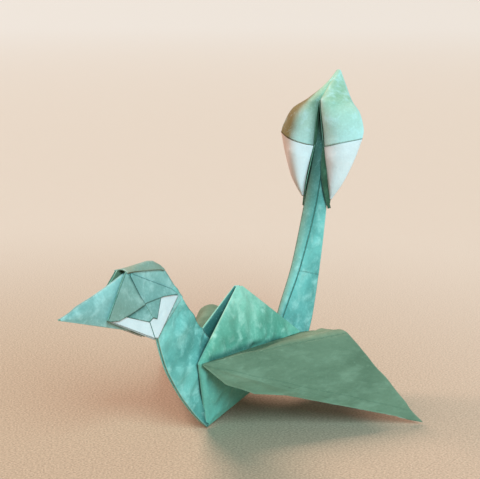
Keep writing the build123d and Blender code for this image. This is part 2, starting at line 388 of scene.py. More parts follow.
@dataclass
class Shell:
    """A stretch of paper around a grid, with the thickness of its layers.

    Attributes:
        grid: Middle of the stretch, in millimetres from the foot.
        way: Direction (behind, out, above) that its front looks towards.
        layers: How many layers of the sheet it holds.
        lift: How far its middle lies in front of the grid.
        front: Coat of the front.
        back: Coat of the back.
        held: Borders that are folds and so keep their place.
        shaded_borders: Borders along which a dark line of painted shade shows.
        worn: Borders along which the colour turns paler, from rubbed-off dye and from a painted highlight.
        scores: Faint creases inside the stretch, darkened by painted shade.
        pool: Where shade is painted, darkening the colour, if anywhere.
        second: Where the second colour takes over, if anywhere; painted shade on the tail strip and far
            hood.
        fade: Where the colour turns paler, if anywhere.
        dent: Depth of the dents.
        dent_length: Their wavelength.
        crumple: Height of the fine ridges between the dents, as a share of the dents.
        ripple: Depth of the shorter waves along free edges.
        seed: Start of the dents' random draw.
    """

    grid: Array
    way: Place
    layers: float = 2.0
    lift: float = 0.0
    front: Coat = Coat.GREEN
    back: Coat = Coat.GREEN
    held: Sequence[Border] = ALL_BORDERS
    # dark lines of painted shade along these borders
    shaded_borders: Sequence[Border] = ()
    # paler along these borders: rubbed-off dye, and a painted highlight
    worn: Sequence[Border] = ()
    scores: Sequence[Score] = ()
    # painted shade, which darkens the colour
    pool: Spread | None = None
    second: Spread | None = None
    fade: Spread | None = None
    dent: float = 0.12
    dent_length: float = 9.0
    crumple: float = 0.7
    ripple: float = 0.0
    seed: int = 1

    def borders(self, chosen: Sequence[Border]) -> list[Array]:
        """The points along each of the chosen borders."""
        return [self.grid[border.value] for border in chosen]

    def maps(self) -> dict[str, Array]:
        """The shell's values at each grid point, which the coats read.

        Returns:
            By name, distances to the lines of dark and faint painted shade and to the rubbed and lit edges
            in millimetres, and shares of painted shade, second colour and paler colour.
        """
        spreads = {"pool": self.pool, "second": self.second, "fade": self.fade}
        none = np.zeros(self.grid.shape[:2])
        return {
            "ink": distance_to(self.grid, self.borders(self.shaded_borders)),
            "score": distance_to(self.grid, [score.line(self.grid) for score in self.scores]),
            "wear": distance_to(self.grid, self.borders(self.worn)),
            **{label: spread.over(self.grid) if spread else none for label, spread in spreads.items()},
        }

    def dented(self, outward: Array) -> Array:
        """The grid with dents that fade towards its held borders, and ripples along the others.

        A dent is a wave plus the crumple times a ridge, whose height is ridge_top less the size of a
        second wave.

        Args:
            outward: The grid's normals, on the side of its front.

        Returns:
            The grid moved along these normals.
        """
        hold = eased(distance_to(self.grid, self.borders(self.held)), 0.0, PAPER.hold_reach)
        crests = waves(self.grid, PAPER.ridge_length * self.dent_length, self.seed + Draw.RIDGES)
        ridges = PAPER.ridge_top - np.minimum(np.abs(crests), PAPER.ridge_fall)
        height = self.dent * hold * (waves(self.grid, self.dent_length, self.seed) + self.crumple * ridges)
        if self.ripple:
            loose = self.borders([border for border in Border if border not in self.held])
            near_rim = 1.0 - eased(distance_to(self.grid, loose), 0.0, PAPER.ripple_reach)
            ripples = waves(self.grid, PAPER.ripple_length, self.seed + Draw.RIPPLES)
            height += self.ripple * hold * near_rim * ripples
        return self.grid + outward * height[..., None]

    def far_side(self, draw: int = 0) -> "Shell":
        """Its mirror image.

        Args:
            draw: How much later its dents start in the random draw.

        Returns:
            The shell for the far side, its shade lines mirrored too.
        """
        values = {label: value.far_side() if isinstance(value, Beside) else value
                  for label, value in vars(self).items()}
        behind, out, above = self.way
        values |= {"grid": mirrored(self.grid), "way": (behind, -out, above), "seed": self.seed + draw}
        return Shell(**values)

    def build(self) -> dict[str, Array]:
        """The shell's points, faces, coats and maps.

        Returns:
            Arrays by name: points, quads, coats, rim_faces and one for each map.
        """
        outward = normals(self.grid)
        turned = (outward @ spot(self.way)).sum() < 0
        middle = self.dented(-outward if turned else outward)
        maps = self.maps()
        if turned:
            middle = middle[:, ::-1]
            maps = {label: values[:, ::-1] for label, values in maps.items()}
        outward = normals(middle)
        half = 0.5 * self.layers * PAPER.layer
        front = middle + outward * (self.lift + half)
        back = middle + outward * (self.lift - half)
        rows, columns = middle.shape[:2]
        index = np.arange(rows * columns).reshape(rows, columns)
        quads = np.stack([index[:-1, :-1], index[:-1, 1:], index[1:, 1:], index[1:, :-1]], axis=-1)
        quads = quads.reshape(-1, 4)
        loop = np.concatenate([index[0, :-1], index[:-1, -1], index[-1, :0:-1], index[:0:-1, 0]])
        after = np.roll(loop, -1)
        under = rows * columns
        rim = np.stack([after, loop, loop + under, after + under], axis=1)
        counts = (len(quads), len(quads), len(rim))
        return {
            "points": np.concatenate([front.reshape(-1, 3), back.reshape(-1, 3)]),
            "quads": np.concatenate([quads, quads[:, ::-1] + under, rim]),
            "coats": np.repeat([int(self.front), int(self.back), int(Coat.CUT)], counts),
            "rim_faces": np.repeat([False, False, True], counts),
            **{label: np.tile(values.ravel(), 2) for label, values in maps.items()},
        }


def both_sides(near: Sequence[Shell]) -> list[Shell]:
    """The near shells and their mirror images, which have dents of their own."""
    return [*near, *(shell.far_side(Draw.FAR_SIDE) for shell in near)]


@dataclass(frozen=True)
class Stand:
    """Where the foot of the keel stands in the frame, from the corner of the node's box."""

    foot_behind_beak: float = 56.93
    foot_above_tips: float = 0.42

    def foot(self) -> Array:
        """The foot's place.

        Returns:
            X, Y and Z in metres.
        """
        low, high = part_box(NODE)
        middle = (low.y + high.y) / 2
        return np.array([low.x + self.foot_behind_beak * MM, middle, low.z + self.foot_above_tips * MM])


@dataclass
class FoldedPart:
    """A sub-assembly of the crane: its shells are gathered into one mesh."""

    name: str = "part"

    def shells(self) -> list[Shell]:
        """The stretches of paper that the part is made of."""
        raise NotImplementedError

    def mesh(self, foot: Array) -> bpy.types.Mesh:
        """One mesh of all the shells.

        Args:
            foot: The foot's place in metres.

        Returns:
            The mesh, with a coat for each face and the shells' maps for each point.
        """
        built = [shell.build() for shell in self.shells()]
        starts = np.cumsum([0] + [len(part["points"]) for part in built[:-1]])
        points = np.concatenate([part["points"] for part in built]) * MM + foot
        quads = np.concatenate([part["quads"] + start for part, start in zip(built, starts)])
        mesh = bpy.data.meshes.new(self.name)
        mesh.vertices.add(len(points))
        mesh.vertices.foreach_set("co", points.astype(np.float32).ravel())
        mesh.loops.add(quads.size)
        mesh.loops.foreach_set("vertex_index", quads.astype(np.int32).ravel())
        mesh.polygons.add(len(quads))
        mesh.polygons.foreach_set("loop_start", np.arange(0, quads.size, 4, dtype=np.int32))
        mesh.update(calc_edges=True)
        coats = np.concatenate([part["coats"] for part in built]).astype(np.int32)
        mesh.polygons.foreach_set("material_index", coats)
        sharp = mesh.attributes.new("sharp_face", "BOOLEAN", "FACE")
        sharp.data.foreach_set("value", np.concatenate([part["rim_faces"] for part in built]))
        for label in MAPS:
            values = np.concatenate([part[label] for part in built]).astype(np.float32)
            mesh.attributes.new(label, "FLOAT", "POINT").data.foreach_set("value", values)
        mesh.validate()
        return mesh

    def piece(self, foot: Array, coats: dict[Coat, Material]) -> bpy.types.Object:
        """The finished object, dressed and riding on the frame.

        Args:
            foot: The foot's place in metres.
            coats: The material of each coat.

        Returns:
            The object, linked to the scene.
        """
        made = bpy.data.objects.new(self.name, self.mesh(foot))
        bpy.context.scene.collection.objects.link(made)
        for coat in Coat:
            made.data.materials.append(coats[coat])
        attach(made, "root")
        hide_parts(NODE)
        log.info("%s: %d faces", self.name, len(made.data.polygons))
        return made


@dataclass(frozen=True)
class Landmarks:
    """Points that several parts share, as (behind, out, above) the foot."""

    foot: Place = (0.0, 0.0, 0.0)
    tail_fold: Place = (42.0, 0.0, 9.2)
    shoulder: Place = (-7.6, 4.3, 21.2)
    hip: Place = (40.3, 5.0, 19.0)
    peak_front: Place = (13.9, 0.55, 38.0)
    peak_rear: Place = (16.2, 0.5, 37.6)
    throat: Place = (8.5, 0.0, 18.0)
    vent: Place = (31.5, 0.0, 15.5)


MARKS = Landmarks()


@dataclass
class Body(FoldedPart):
    """Keel, side walls and peaked back in one stretch, and the folds that turn in at both ends."""

    name: str = "body"
    length: float = 52.0                                    # longest line from front to rear
    wall_puff: float = 0.7
    back_puff: float = 0.5
    roll_width: Place = (1.0, 2.8, 1.3)                     # at keel, wing root and peak
    roll_depth: Place = (0.3, 1.3, 0.2)
    roll_start: float = 0.3                                 # share of the climb from keel to root
    pinch: Places = ((22.6, 4.4, 21.3), (19.2, 4.5, 20.4), (13.5, 4.5, 19.7))
    pinch_reach: float = 1.1
    pinch_depth: float = 0.55
    into_neck: Places = ((9.5, 0.25, 22.0), MARKS.throat, (5.0, 0.25, 9.0))
    into_tail: Places = ((31.0, 0.25, 19.0), MARKS.vent, (34.0, 0.25, 11.0))
    # line above the wing's root beside which shade is painted
    root_shade: Places = (
        (-3.0, 4.3, 21.3), (11.7, 4.8, 21.0), (18.1, 4.8, 20.6), (24.2, 4.8, 19.7), (29.0, 4.8, 19.2),
    )
    root_reach: float = 2.0

    def spanned(self, low: Array, high: Array, columns: int, puff: float) -> Array:
        """A grid between two lines that bulges outward by the puff times sin(pi t) sqrt(sin(pi u)).

        Args:
            low: The line of the first row.
            high: The line of the last row.
            columns: How many columns the grid has.
            puff: The bulge's height, in millimetres.

        Returns:
            The grid, t running down its rows and u along its columns.
        """
        first, second = resampled(low, columns), resampled(high, columns)
        rows = steps_for(np.linalg.norm(second - first, axis=1).max(), PAPER.mesh_step)
        t = np.linspace(0.0, 1.0, rows)[:, None, None]
        grid = first[None] * (1 - t) + second[None] * t
        u = np.linspace(0.0, 1.0, columns)[None, :]
        grid[..., 1] -= puff * np.sin(np.pi * t[..., 0]) * np.sin(np.pi * u) ** 0.5
        return grid

    def near_half(self) -> Array:
        """The near half, from the peak down to the keel.

        Its front edge is rolled inwards on an arc, and the paper is drawn in along the wing's root by
        a depth times exp(-(distance / reach)^2).

        Returns:
            The grid, its first row the peak, its last the keel and its first column the front edge.
        """
        columns = steps_for(self.length, PAPER.mesh_step)
        keel = spots([MARKS.foot, MARKS.tail_fold])
        root = spots([MARKS.shoulder, MARKS.hip])
        crest = spots([MARKS.peak_front, MARKS.peak_rear])
        lower = self.spanned(keel, root, columns, self.wall_puff)
        upper = self.spanned(root, crest, columns, self.back_puff)
        grid = np.concatenate([lower, upper[1:]])
        climb = np.concatenate([np.linspace(0.0, 1.0, len(lower)), np.linspace(1.0, 2.0, len(upper))[1:]])
        width = np.interp(climb, [0.0, 1.0, 2.0], self.roll_width)[:, None]
        depth = np.interp(climb, [0.0, 1.0, 2.0], self.roll_depth)[:, None]
        from_front = np.linalg.norm(grid - grid[:, :1], axis=2)
        turn = np.clip(1.0 - from_front / width, 0.0, 1.0)
        grid[..., 1] += depth * (1.0 - np.sqrt(1.0 - turn**2)) * eased(climb, 0.0, self.roll_start)[:, None]
        gap = distance_to(grid, [smooth(self.pinch, 30)])
        grid[..., 1] += self.pinch_depth * np.exp(-((gap / self.pinch_reach) ** 2))
        return grid[::-1]

    def shells(self) -> list[Shell]:
        """Both walls, and the inner folds to the neck and to the tail, with painted shade.

        Returns:
            The shells, near and far.
        """
        wall = self.near_half()
        # painted shade above the wing's root, and over the inner folds, full from a quarter of the way in
        shade = Beside(resampled(spots(self.root_shade), 80), self.root_reach)
        inner = {"front": Coat.TEAL, "back": Coat.TEAL, "pool": Ramp(Axis.COLUMN, -0.7, 0.25), "dent": 0.06}
        return both_sides([
            Shell(wall, (0, 1, 0), back=Coat.TEAL, worn=(Border.LEFT, Border.BOTTOM, Border.TOP),
                  pool=shade, second=Ramp(Axis.ROW, 0.5, 0.66), fade=Ramp(Axis.ROW, 0.45, -0.2),
                  dent=0.34, dent_length=6.5, crumple=0.9, seed=3),
            Shell(ruled(wall[:, 0], spots(self.into_neck)), (-1, 0, 0), seed=5, **inner),
            Shell(ruled(wall[:, -1], spots(self.into_tail)), (1, 0, 0), seed=6, **inner),
        ])


@dataclass
class Wings(FoldedPart):
    """Fans that spread from the shoulder to the rear edge, the tip and the front edge with its knee."""

    name: str = "wings"
    crest: Place = (32.7, 24.3, 25.4)
    tip: Place = (38.4, 47.5, 0.35)
    front_edge: Places = (
        (31.4, 41.1, 3.2), (19.2, 30.3, 7.5), (9.2, 20.7, 11.1), (2.3, 14.8, 12.2), (-3.2, 9.0, 15.4),
    )
    bend_share: float = 0.11
    apex: float = 0.4                   # where the rays start, away from the shoulder
    ray_length: float = 60.0            # the longest of them
    mesh_step: float = 0.62
    creases: Pair = (0.2, 0.45)         # shares of the way round from the hip

    def outline(self) -> Array:
        """The fan's free border, near side.

        Returns:
            Points from the hip over the crest to the tip, and back along the front edge.
        """
        hip, crest, tip = spot(MARKS.hip), spot(self.crest), spot(self.tip)
        front = spots(self.front_edge)
        return np.vstack([hip, corner_bend(hip, crest, tip, self.bend_share), tip, front])

    def fan(self) -> Array:
        """Rays from just past the shoulder to points at even steps round the outline.

        Returns:
            The grid, one ray to a row: start + (rim - start) * t.
        """
        outline = self.outline()
        rim = resampled(outline, steps_for(length_of(outline), self.mesh_step))
        rays = rim - spot(MARKS.shoulder)
        start = rays / np.linalg.norm(rays, axis=1, keepdims=True) * self.apex
        t = np.linspace(0.0, 1.0, steps_for(self.ray_length, self.mesh_step))[None, :, None]
        return spot(MARKS.shoulder) + start[:, None] * (1 - t) + rays[:, None] * t

    def shells(self) -> list[Shell]:
        """Both wings, each two layers thick.

        Returns:
            The shells, near and far.
        """
        creases = tuple(Score(Axis.ROW, share) for share in self.creases)
        return both_sides([
            Shell(self.fan(), (0, 0.4, 1), front=Coat.SAGE, back=Coat.SAGE,
                  held=(Border.TOP, Border.LEFT), worn=(Border.RIGHT, Border.BOTTOM), scores=creases,
                  dent=0.22, dent_length=13.0, ripple=0.22, seed=11),
        ])


@dataclass
class Neck(FoldedPart):
    """One stretch folded along its back, nearly closed along the breast, that goes on into the head."""

    name: str = "neck"
    back: Places = ((8.5, 0, 18.0), (-1.7, 0, 29.3), (-6.7, 0, 35.4), (-10.1, 0, 39.9), (-13.6, 0, 43.8))
    breast: Places = (
        (0.0, 0.15, 0.1), (-4.3, 0.28, 4.0), (-7.9, 0.3, 7.9), (-11.5, 0.3, 12.3), (-14.7, 0.3, 16.9),
        (-17.3, 0.3, 21.2), (-19.1, 0.3, 25.3), (-20.8, 0.3, 30.4), (-21.8, 0.3, 35.5),
    )
    back_radius: float = 0.15
    puff: tuple[float, ...] = (0.0, 0.35, 0.9, 1.05, 0.9, 0.5, 0.15, 0.05)
    tuck: Place = (0.35, 0.0, 0.0)      # from a breast edge to the layer inside
    body_edge: Places = ((0.0, 0.4, 0.0), (-2.4, 1.2, 10.0), (-4.0, 1.4, 20.0), (4.0, 1.0, 28.8))
    body_reach: float = 2.4             # width of the painted shade beside that edge

    def shells(self) -> list[Shell]:
        """The neck, with painted shade where it goes in beside the body, and the layer between its breast
        edges.

        Returns:
            The two shells.
        """
        breast = smooth(self.breast)
        inside = breast + spot(self.tuck)
        coats = {"front": Coat.TEAL, "back": Coat.TEAL}
        return [
            # painted shade beside the body's edge; paler along both edges, partly a painted highlight
            Shell(folded(breast, smooth(self.back), self.back_radius, self.puff), (1, 0, 1),
                  worn=(Border.LEFT, Border.RIGHT), scores=(Score(Axis.COLUMN, 0.5),),
                  pool=Beside(smooth(self.body_edge), self.body_reach), fade=Ramp(Axis.ROW, 0.6, 1.3),
                  dent=0.32, dent_length=7.0, crumple=0.9, seed=21, **coats),
            Shell(ruled(inside, mirrored(inside)), (-1, 0, 0), layers=1.0, dent=0.03, seed=22, **coats),
        ]


@dataclass(frozen=True)
class Facet:
    """A flat layer of the cheek between two outlines, given in pairs (behind, above) the foot.

    Attributes:
        one: The first outline.
        other: The second.
        gap: How far the second stands in front of the side of the head.
        start: How far the first does, if not as far.
        shaded_borders: Borders along which a dark line of painted shade shows against the layer below.
        front: Coat of the front.
        back: Coat of the back.
        second: Where the second dye takes over, if anywhere.
        crease: Line beside which shade is painted, if any.
        crease_reach: Width of that painted shade.
    """

    one: tuple[Pair, ...]
    other: tuple[Pair, ...]
    gap: float
    start: float | None = None
    shaded_borders: tuple[Border, ...] = ALL_BORDERS
    front: Coat = Coat.MIST
    back: Coat = Coat.SAGE
    second: Spread | None = None
    crease: tuple[Pair, ...] = ()
    crease_reach: float = 1.0


CROSSING = (-27.96, 42.1)       # where the two diagonals of the cheek cross
BORDER = {"front": Coat.WHITE, "back": Coat.WHITE, "shaded_borders": (Border.LEFT, Border.TOP)}
CHEEK = {
    "brow": Facet(
        ((-34.5, 51.6), (-43.0, 41.3)),
        ((-33.4, 50.6), (-30.05, 44.85), CROSSING, (-35.0, 40.9), (-39.4, 40.5), (-42.8, 41.15)),
        gap=0.94, start=0.34, second=Ramp(Axis.ROW, -0.6, 2.0), crease=((-33.3, 50.3), (-29.4, 44.2)),
    ),
    "temple": Facet(
        ((-32.4, 51.0), (-25.1, 47.7), (-15.7, 43.5), (-13.2, 41.7)),
        ((-33.2, 49.9), (-28.7, 42.2), (-19.7, 42.3), (-13.3, 41.5)),
        gap=0.8, start=0.3, shaded_borders=(Border.LEFT, Border.RIGHT),
    ),
    "middle": Facet(
        ((-28.6, 43.0), (-20.6, 42.9)), ((-24.85, 37.8), (-23.2, 37.1)),
        gap=0.66, shaded_borders=(Border.LEFT, Border.RIGHT, Border.BOTTOM),
    ),
    "low": Facet(
        ((-27.2, 42.6), (-35.0, 41.9), (-38.6, 41.6)),
        ((-24.2, 37.9), (-26.4, 37.0), (-36.0, 40.65), (-38.5, 40.9)),
        gap=0.52, shaded_borders=(Border.RIGHT,), crease=((-28.6, 41.9), (-36.0, 40.8)), crease_reach=1.3,
    ),
    "front border": Facet(
        ((-42.3, 41.0), (-24.5, 32.2)), ((-38.6, 42.4), (-28.0, 41.4)), gap=0.37, **BORDER,
    ),
    "rear border": Facet(
        ((-12.7, 41.0), (-23.0, 31.9), (-24.2, 32.2)), ((-18.6, 43.0), (-27.7, 41.4)), gap=0.37, **BORDER,
    ),
    "hem": Facet(((-42.5, 40.9), (-24.3, 31.75)), ((-40.0, 42.5), (-27.0, 36.5)), gap=0.22, **BORDER),
}


@dataclass
class Head(FoldedPart):
    """Side, roof and beak, and the squash-folded cheek with its white border on each side."""

    name: str = "head"
    lean: float = 6.3                   # degrees by which each side leans out
    side_gap: float = 0.2
    fine_step: float = 0.35
    nape: Pair = (-10.1, 39.9)
    occiput: Pair = (-17.7, 48.8)
    edge: tuple[Pair, ...] = ((-34.3, 51.6), (-42.8, 41.3), (-23.75, 31.8))
    back: Places = ((-18.0, 0, 49.4), (-13.3, 0, 43.4), (-10.1, 0, 39.9))
    back_radius: float = 0.03
    eave: tuple[Pair, ...] = ((-34.4, 51.5), (-31.2, 51.2), (-25.4, 50.3), (-20.8, 49.6), (-18.3, 48.9))
    eave_gaps: tuple[float, ...] = (0.52, 0.46, 0.32, 0.28, 0.1)
    ridge: Places = (
        (-34.0, 0, 52.0), (-28.0, 0, 52.25), (-24.4, 0, 52.3),
        (-22.2, 0, 51.9), (-19.2, 0, 50.3), (-17.7, 0, 48.8),
    )
    ridge_radius: float = 0.25
    roof_puff: Pair = (0.15, 0.15)
    beak_top: Places = ((-56.3, 0, 44.15), (-44.4, 0, 47.55), (-36.7, 0, 49.85), (-31.0, 0, 51.4))
    beak_low: Places = ((-56.3, 0.1, 43.95), (-44.6, 1.0, 40.05), (-40.5, 1.3, 38.7), (-33.0, 1.5, 36.2))
    beak_radius: float = 0.22
    beak_puff: tuple[float, ...] = (0.2, 0.5, 1.0, 1.1, 0.7)

    def on_cheek(self, outline: Sequence[Pair], gap: float | Sequence[float] = 0.0) -> Array:
        """Points of the near cheek, which leans out from the fold at the back of the head.

        Args:
            outline: Pairs (behind, above) the foot.
            gap: How far they stand in front of the side of the head, one for all or one for each.

        Returns:
            Points whose width is the gap plus the distance from that fold times sin(lean).
        """
        flat = np.array(outline)
        top, low = np.array(self.occiput), np.array(self.nape)
        along = (top - low) / np.linalg.norm(top - low)
        away = np.abs((flat - low) @ np.array([-along[1], along[0]]))
        width = self.side_gap + np.asarray(gap) + away * np.sin(np.radians(self.lean))
        return np.column_stack([flat[:, 0], -width, flat[:, 1]])

    def plate(self, facet: Facet) -> Shell:
        """One layer of the near cheek.

        Args:
            facet: Its outlines and dye.

        Returns:
            Its shell.
        """
        start = facet.gap if facet.start is None else facet.start
        grid = ruled(self.on_cheek(facet.one, start), self.on_cheek(facet.other, facet.gap), self.fine_step)
        # painted shade beside the facet's crease
        pool = None
        if facet.crease:
            pool = Beside(resampled(self.on_cheek(facet.crease, facet.gap), 40), facet.crease_reach)
        return Shell(grid, (0, 1, 0), layers=1.0, front=facet.front, back=facet.back, shaded_borders=facet.shaded_borders,
                     pool=pool, second=facet.second, dent=0.02, dent_length=5.0, seed=41)

    def shells(self) -> list[Shell]:
        """Side, roof, beak and cheeks.

        Returns:
            The shells, the cheeks' on both sides.
        """
        side = folded(self.on_cheek(self.edge), spots(self.back), self.back_radius, (0.0, 0.0))
        eave = self.on_cheek(self.eave, self.eave_gaps)
        roof = folded(eave, spots(self.ridge), self.ridge_radius, self.roof_puff, self.fine_step)
        beak = folded(smooth(self.beak_low), smooth(self.beak_top), self.beak_radius, self.beak_puff)
        coats = {"front": Coat.MIST, "back": Coat.MIST}
        return [
            Shell(side, (1, 0, 1), front=Coat.MIST, back=Coat.SAGE, dent=0.02, seed=41),
            Shell(roof, (0, 0, 1), worn=(Border.TOP,), second=EVERYWHERE, dent=0.05, seed=32, **coats),
            Shell(beak, (0, 0, 1), worn=(Border.LEFT,), scores=(Score(Axis.COLUMN, 0.5),),
                  fade=Ramp(Axis.ROW, -1.0, 3.6), dent=0.15, dent_length=6.0, seed=33, **coats),
            *both_sides([self.plate(facet) for facet in CHEEK.values()]),
        ]


@dataclass
class Tail(FoldedPart):
    """A channel: a narrow front strip between a near wall and a far wall."""

    name: str = "tail"
    front: Places = (
        (31.5, 0.5, 14.0), (37.2, 1.2, 25.4), (45.0, 1.6, 38.1),
        (52.6, 2.1, 56.4), (57.2, 1.6, 73.0), (59.6, 0.6, 87.0),
    )
    rear: Places = (
        (43.0, 1.0, 9.6), (48.4, 2.5, 17.0), (52.4, 3.0, 32.3),
        (56.1, 3.4, 54.1), (59.5, 2.6, 73.0), (62.0, 0.8, 88.0),
    )
    wall_inset: Place = (0.3, -0.2, 0.0)        # from the strip's edge to the wall behind it
    into_hood: Pair = (0.45, 0.8)               # shares of the way up between which the painted shade grows
    knee: float = 0.33                          # share of the way up at which the walls are creased

    def shells(self) -> list[Shell]:
        """Near wall, far wall and strip.

        Returns:
            The three shells.
        """
        front, rear = smooth(self.front, 120), smooth(self.rear, 120)
        dress = {"front": Coat.TURQUOISE, "back": Coat.TURQUOISE, "pool": Ramp(Axis.ROW, *self.into_hood)}
        wall = Shell(ruled(front + spot(self.wall_inset), rear), (0, 1, 0),
                     shaded_borders=(Border.LEFT,), worn=(Border.RIGHT,), scores=(Score(Axis.ROW, self.knee),),
                     dent=0.18, dent_length=6.0, seed=51, **dress)
        # the strip: painted shade darkens it towards its far edge and under the hood
        strip = Shell(ruled(front, mirrored(front)), (-1, 0, 0.4), lift=0.15,
                      shaded_borders=(Border.LEFT, Border.RIGHT), second=Ramp(Axis.COLUMN, 0.1, 1.1),
                      dent=0.16, dent_length=6.0, seed=53, **dress)
        return [*both_sides([wall]), strip]


@dataclass
class Hood(FoldedPart):
    """Two bowed lobes joined by pleats behind their slot, each ending in a white petal with a lining."""

    name: str = "hood"
    ridge: Places = ((67.7, 0.05, 95.6), (62.0, 0.05, 91.8))
    slot: Places = ((56.6, 0.1, 87.1), (56.4, 1.0, 80.5), (56.7, 1.8, 73.0))
    rim: Places = (
        (67.75, 0.5, 95.5), (66.6, 3.4, 90.7), (62.7, 8.0, 86.5),
        (60.5, 12.0, 83.5), (59.2, 14.2, 79.0), (58.0, 14.5, 76.2),
    )
    petal_slot: Places = ((56.7, 1.8, 73.0), (56.5, 2.6, 67.3), (56.3, 3.9, 60.0), (55.9, 4.7, 57.4))
    petal_rim: Places = ((58.0, 14.5, 76.2), (57.2, 12.4, 69.9), (56.2, 9.3, 63.0), (55.9, 5.3, 57.3))
    lining_inner: Places = ((56.8, 1.5, 73.4), (55.1, 2.0, 67.2), (54.6, 3.05, 61.2), (55.5, 4.35, 54.4))
    lining_outer: Places = ((57.3, 2.6, 73.6), (57.1, 4.0, 67.2), (56.8, 4.9, 61.0), (55.6, 4.9, 54.6))
    pleat_depth: Places = ((61.0, 0.5, 87.4), (60.3, 0.6, 80.5), (58.6, 0.8, 73.2))
    bow: float = 2.8
    bow_share: float = 0.25             # the most it is, as a share of the width
    roll_width: float = 2.4
    roll_depth: float = 1.3
    roll_share: float = 0.3             # the most it is, as a share of the width
    petal_roll: float = 0.4             # a petal's roll, as a share of a lobe's
    gusset: Place = (1.4, 0.2, 0.0)
    near_reach: float = 2.2             # width of the painted shade beside the slot, on the near lobe
    far_reach: float = 3.5              # and on the far one
    # painted shade on the far lobe and petal, growing from slot side to rim
    painted_far_shade: Ramp = Ramp(Axis.COLUMN, 0.32, 0.67)

    def bowed(self, first: Array, second: Array, roll: float = 0.0) -> Array:
        """A grid between two curves, bowed forward and rolled back along its first column.

        Args:
            first: The curve next to the slot.
            second: The curve at the rim.
            roll: How far the first column turns back, on a quarter round.

        Returns:
            The grid, its bow up to a share of its width times sin(pi t).
        """
        grid = ruled(first, second)
        width = np.linalg.norm(grid[:, 0] - grid[:, -1], axis=1)[:, None]
        t = np.linspace(0.0, 1.0, grid.shape[1])[None, :]
        grid[..., 0] -= np.minimum(self.bow, self.bow_share * width) * np.sin(np.pi * t)
        turn = np.clip(1.0 - t * width / self.roll_width, 0.0, 1.0)
        grid[..., 0] += np.minimum(roll, self.roll_share * width) * (1.0 - np.sqrt(1.0 - turn**2))
        return grid

    def half(self, lobe: Array, far: bool) -> list[Shell]:
        """Lobe, petal, pleat and lining of one side, the far ones mirrored and browned by painted shade.

        Args:
            lobe: The near lobe's grid.
            far: Whether they are for the far side.

        Returns:
            The shells, the lobe's two layers first.
        """
        roll = self.petal_roll * self.roll_depth
        petal = self.bowed(smooth(self.petal_slot, 80), smooth(self.petal_rim, 80), roll)
        pleat = ruled(smooth(self.slot, 40), smooth(self.pleat_depth, 40))
        inner = smooth(self.lining_inner)
        lining = ruled(inner, smooth(self.lining_outer))
        gusset = ruled(inner, inner + spot(self.gusset))
        # the far lobe and petal take painted shade; the lobes take painted shade beside the slot
        second, seed = (self.painted_far_shade, 111) if far else (None, 61)
        shade = Beside(lobe[len(lobe) // 2 + 2:, 0], self.far_reach if far else self.near_reach)
        aqua = {"front": Coat.AQUA, "back": Coat.AQUA, "layers": 1.0, "fade": Ramp(Axis.ROW, 0.3, 1.1),
                "dent_length": 7.0, "seed": seed}
        # pleat, lining and gusset take the dark green of painted shade
        deep = {"front": Coat.DEEP, "back": Coat.DEEP, "layers": 1.0}
        shells = [
            Shell(lobe, (-1, 0, 0.4), lift=0.2, worn=(Border.RIGHT,), scores=(Score(Axis.ROW, 1.0),),
                  pool=shade, second=second, **aqua),
            Shell(lobe, (-1, 0, 0.4), shaded_borders=(Border.LEFT,), **aqua),
            Shell(petal, (-1, 0, 0), front=Coat.WHITE, back=Coat.AQUA, second=second,
                  dent=0.15, seed=seed + 1),
            Shell(pleat, (0, -1, 0), dent=0.05, seed=seed + 2, **deep),
            Shell(lining, (-1, 0, 0), dent=0.08, seed=seed + 3, **deep),
            Shell(gusset, (0, -1, 0), dent=0.02, seed=seed + 4, **deep),
        ]
        return [shell.far_side() for shell in shells] if far else shells

    def shells(self) -> list[Shell]:
        """Both halves.

        Returns:
            The shells, near and then far.
        """
        slot = np.vstack([spots(self.ridge), smooth(self.slot)])
        lobe = self.bowed(slot, smooth(self.rim, 80), self.roll_depth)
        return [*self.half(lobe, False), *self.half(lobe, True)]


def linear(colour: Colour) -> tuple[float, float, float, float]:
    """A screen's colour as a shader's.

    Args:
        colour: Red, green and blue as they look on a screen, from 0 to 255.

    Returns:
        The linear red, green and blue from 0 to 1, and an alpha of 1.
    """
    shares = np.array(colour) / 255.0
    rgb = np.where(shares <= 0.04045, shares / 12.92, ((shares + 0.055) / 1.055) ** 2.4)
    return (*(float(value) for value in rgb), 1.0)


NOISE_ROUGHNESS = 0.58


